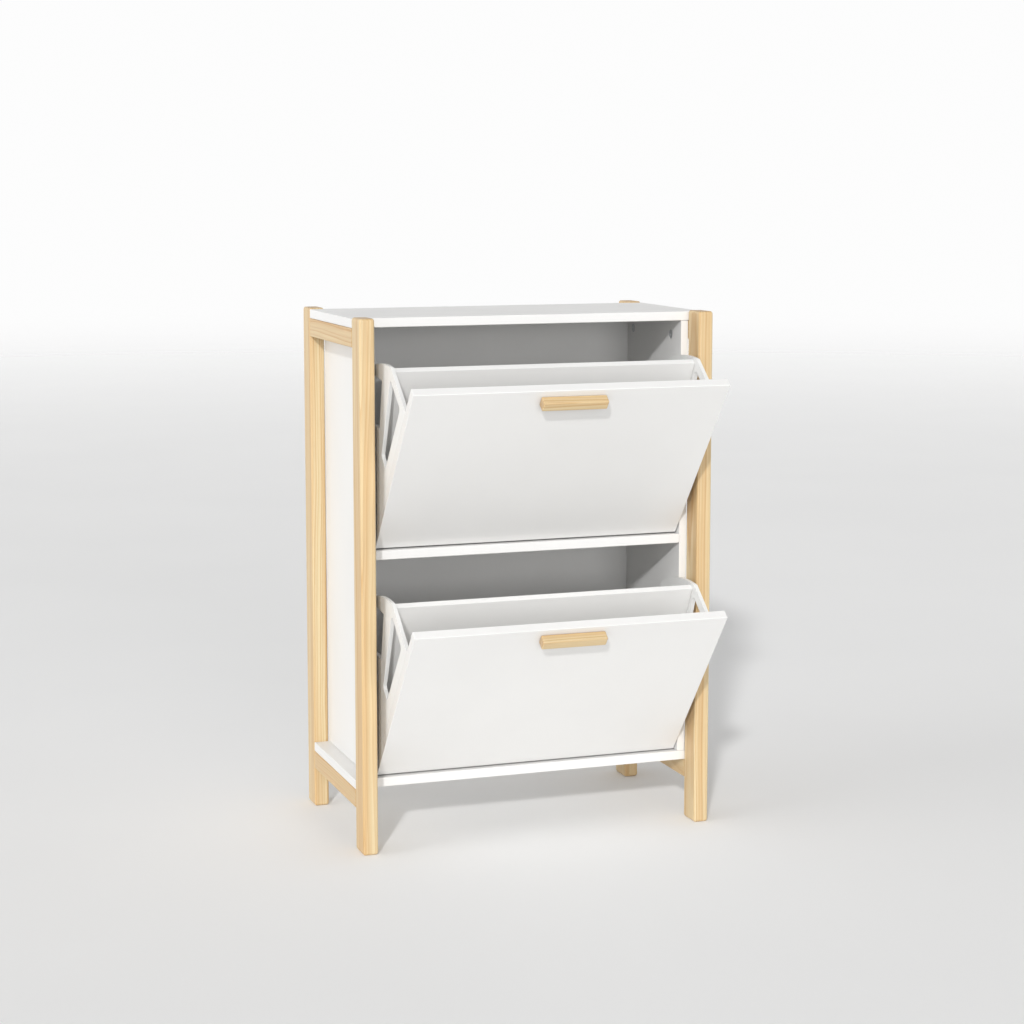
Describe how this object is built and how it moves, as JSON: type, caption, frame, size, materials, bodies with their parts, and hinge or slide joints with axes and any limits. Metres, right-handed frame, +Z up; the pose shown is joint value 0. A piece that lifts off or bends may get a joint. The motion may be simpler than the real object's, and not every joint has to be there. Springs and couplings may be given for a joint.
{
  "type": "shoe cabinet",
  "caption": "Shoe cabinet with two tilting drawers, white boards held between pine side frames, both drawers tilted open.",
  "frame": {"origin": "on the floor, under the middle of the box around the cabinet with both drawers open", "axes": "+X to the cabinet's right as seen from its front, +Y towards its back, +Z up"},
  "size_m": [0.595, 0.5096, 0.85],
  "materials": {
    "pine": "clear matt lacquer over straight-grained pine",
    "white_board": "satin white foil over particle board",
    "white_plastic": "fine-grained moulded plastic",
    "zinc": "satin zinc plating"
  },
  "bodies": {
    "cabinet": {"post_front_left": "pine", "post_front_right": "pine", "post_rear_left": "pine", "post_rear_right": "pine", "rail_top_left": "pine", "rail_top_right": "pine", "rail_bottom_left": "pine", "rail_bottom_right": "pine", "top_board": "white_board", "bottom_board": "white_board", "middle_shelf": "white_board", "back_panel": "white_board", "side_panel_left": "white_board", "side_panel_right": "white_board", "cam_top_front_left": "zinc", "cam_top_front_right": "zinc", "cam_top_rear_left": "zinc", "cam_top_rear_right": "zinc", "cam_bottom_front_left": "zinc", "cam_bottom_front_right": "zinc", "cam_bottom_rear_left": "zinc", "cam_bottom_rear_right": "zinc", "pivot_bush_upper_left": "white_plastic", "stop_peg_upper_left": "zinc", "pivot_bush_upper_right": "white_plastic", "stop_peg_upper_right": "zinc", "pivot_bush_lower_left": "white_plastic", "stop_peg_lower_left": "zinc", "pivot_bush_lower_right": "white_plastic", "stop_peg_lower_right": "zinc"},
    "upper_drawer": {"upper_front": "white_board", "upper_handle": "pine", "upper_divider": "white_board", "upper_tray_floor": "white_board", "upper_rear_board": "white_board", "upper_cheek_left": "white_plastic", "upper_pivot_pin_left": "zinc", "upper_handle_screw_left": "zinc", "upper_cheek_right": "white_plastic", "upper_pivot_pin_right": "zinc", "upper_handle_screw_right": "zinc"},
    "lower_drawer": {"lower_front": "white_board", "lower_handle": "pine", "lower_divider": "white_board", "lower_tray_floor": "white_board", "lower_rear_board": "white_board", "lower_cheek_left": "white_plastic", "lower_pivot_pin_left": "zinc", "lower_handle_screw_left": "zinc", "lower_cheek_right": "white_plastic", "lower_pivot_pin_right": "zinc", "lower_handle_screw_right": "zinc"}
  },
  "joints": [
    {"name": "upper_drawer_tilt", "type": "hinge", "parent": "cabinet", "child": "upper_drawer", "pos_m": [0, -0.03019, 0.5035], "axis": [1, 0, 0], "range_deg": [-38.8, 0]},
    {"name": "lower_drawer_tilt", "type": "hinge", "parent": "cabinet", "child": "lower_drawer", "pos_m": [0, -0.03019, 0.1355], "axis": [1, 0, 0], "range_deg": [-38.8, 0]}
  ]
}
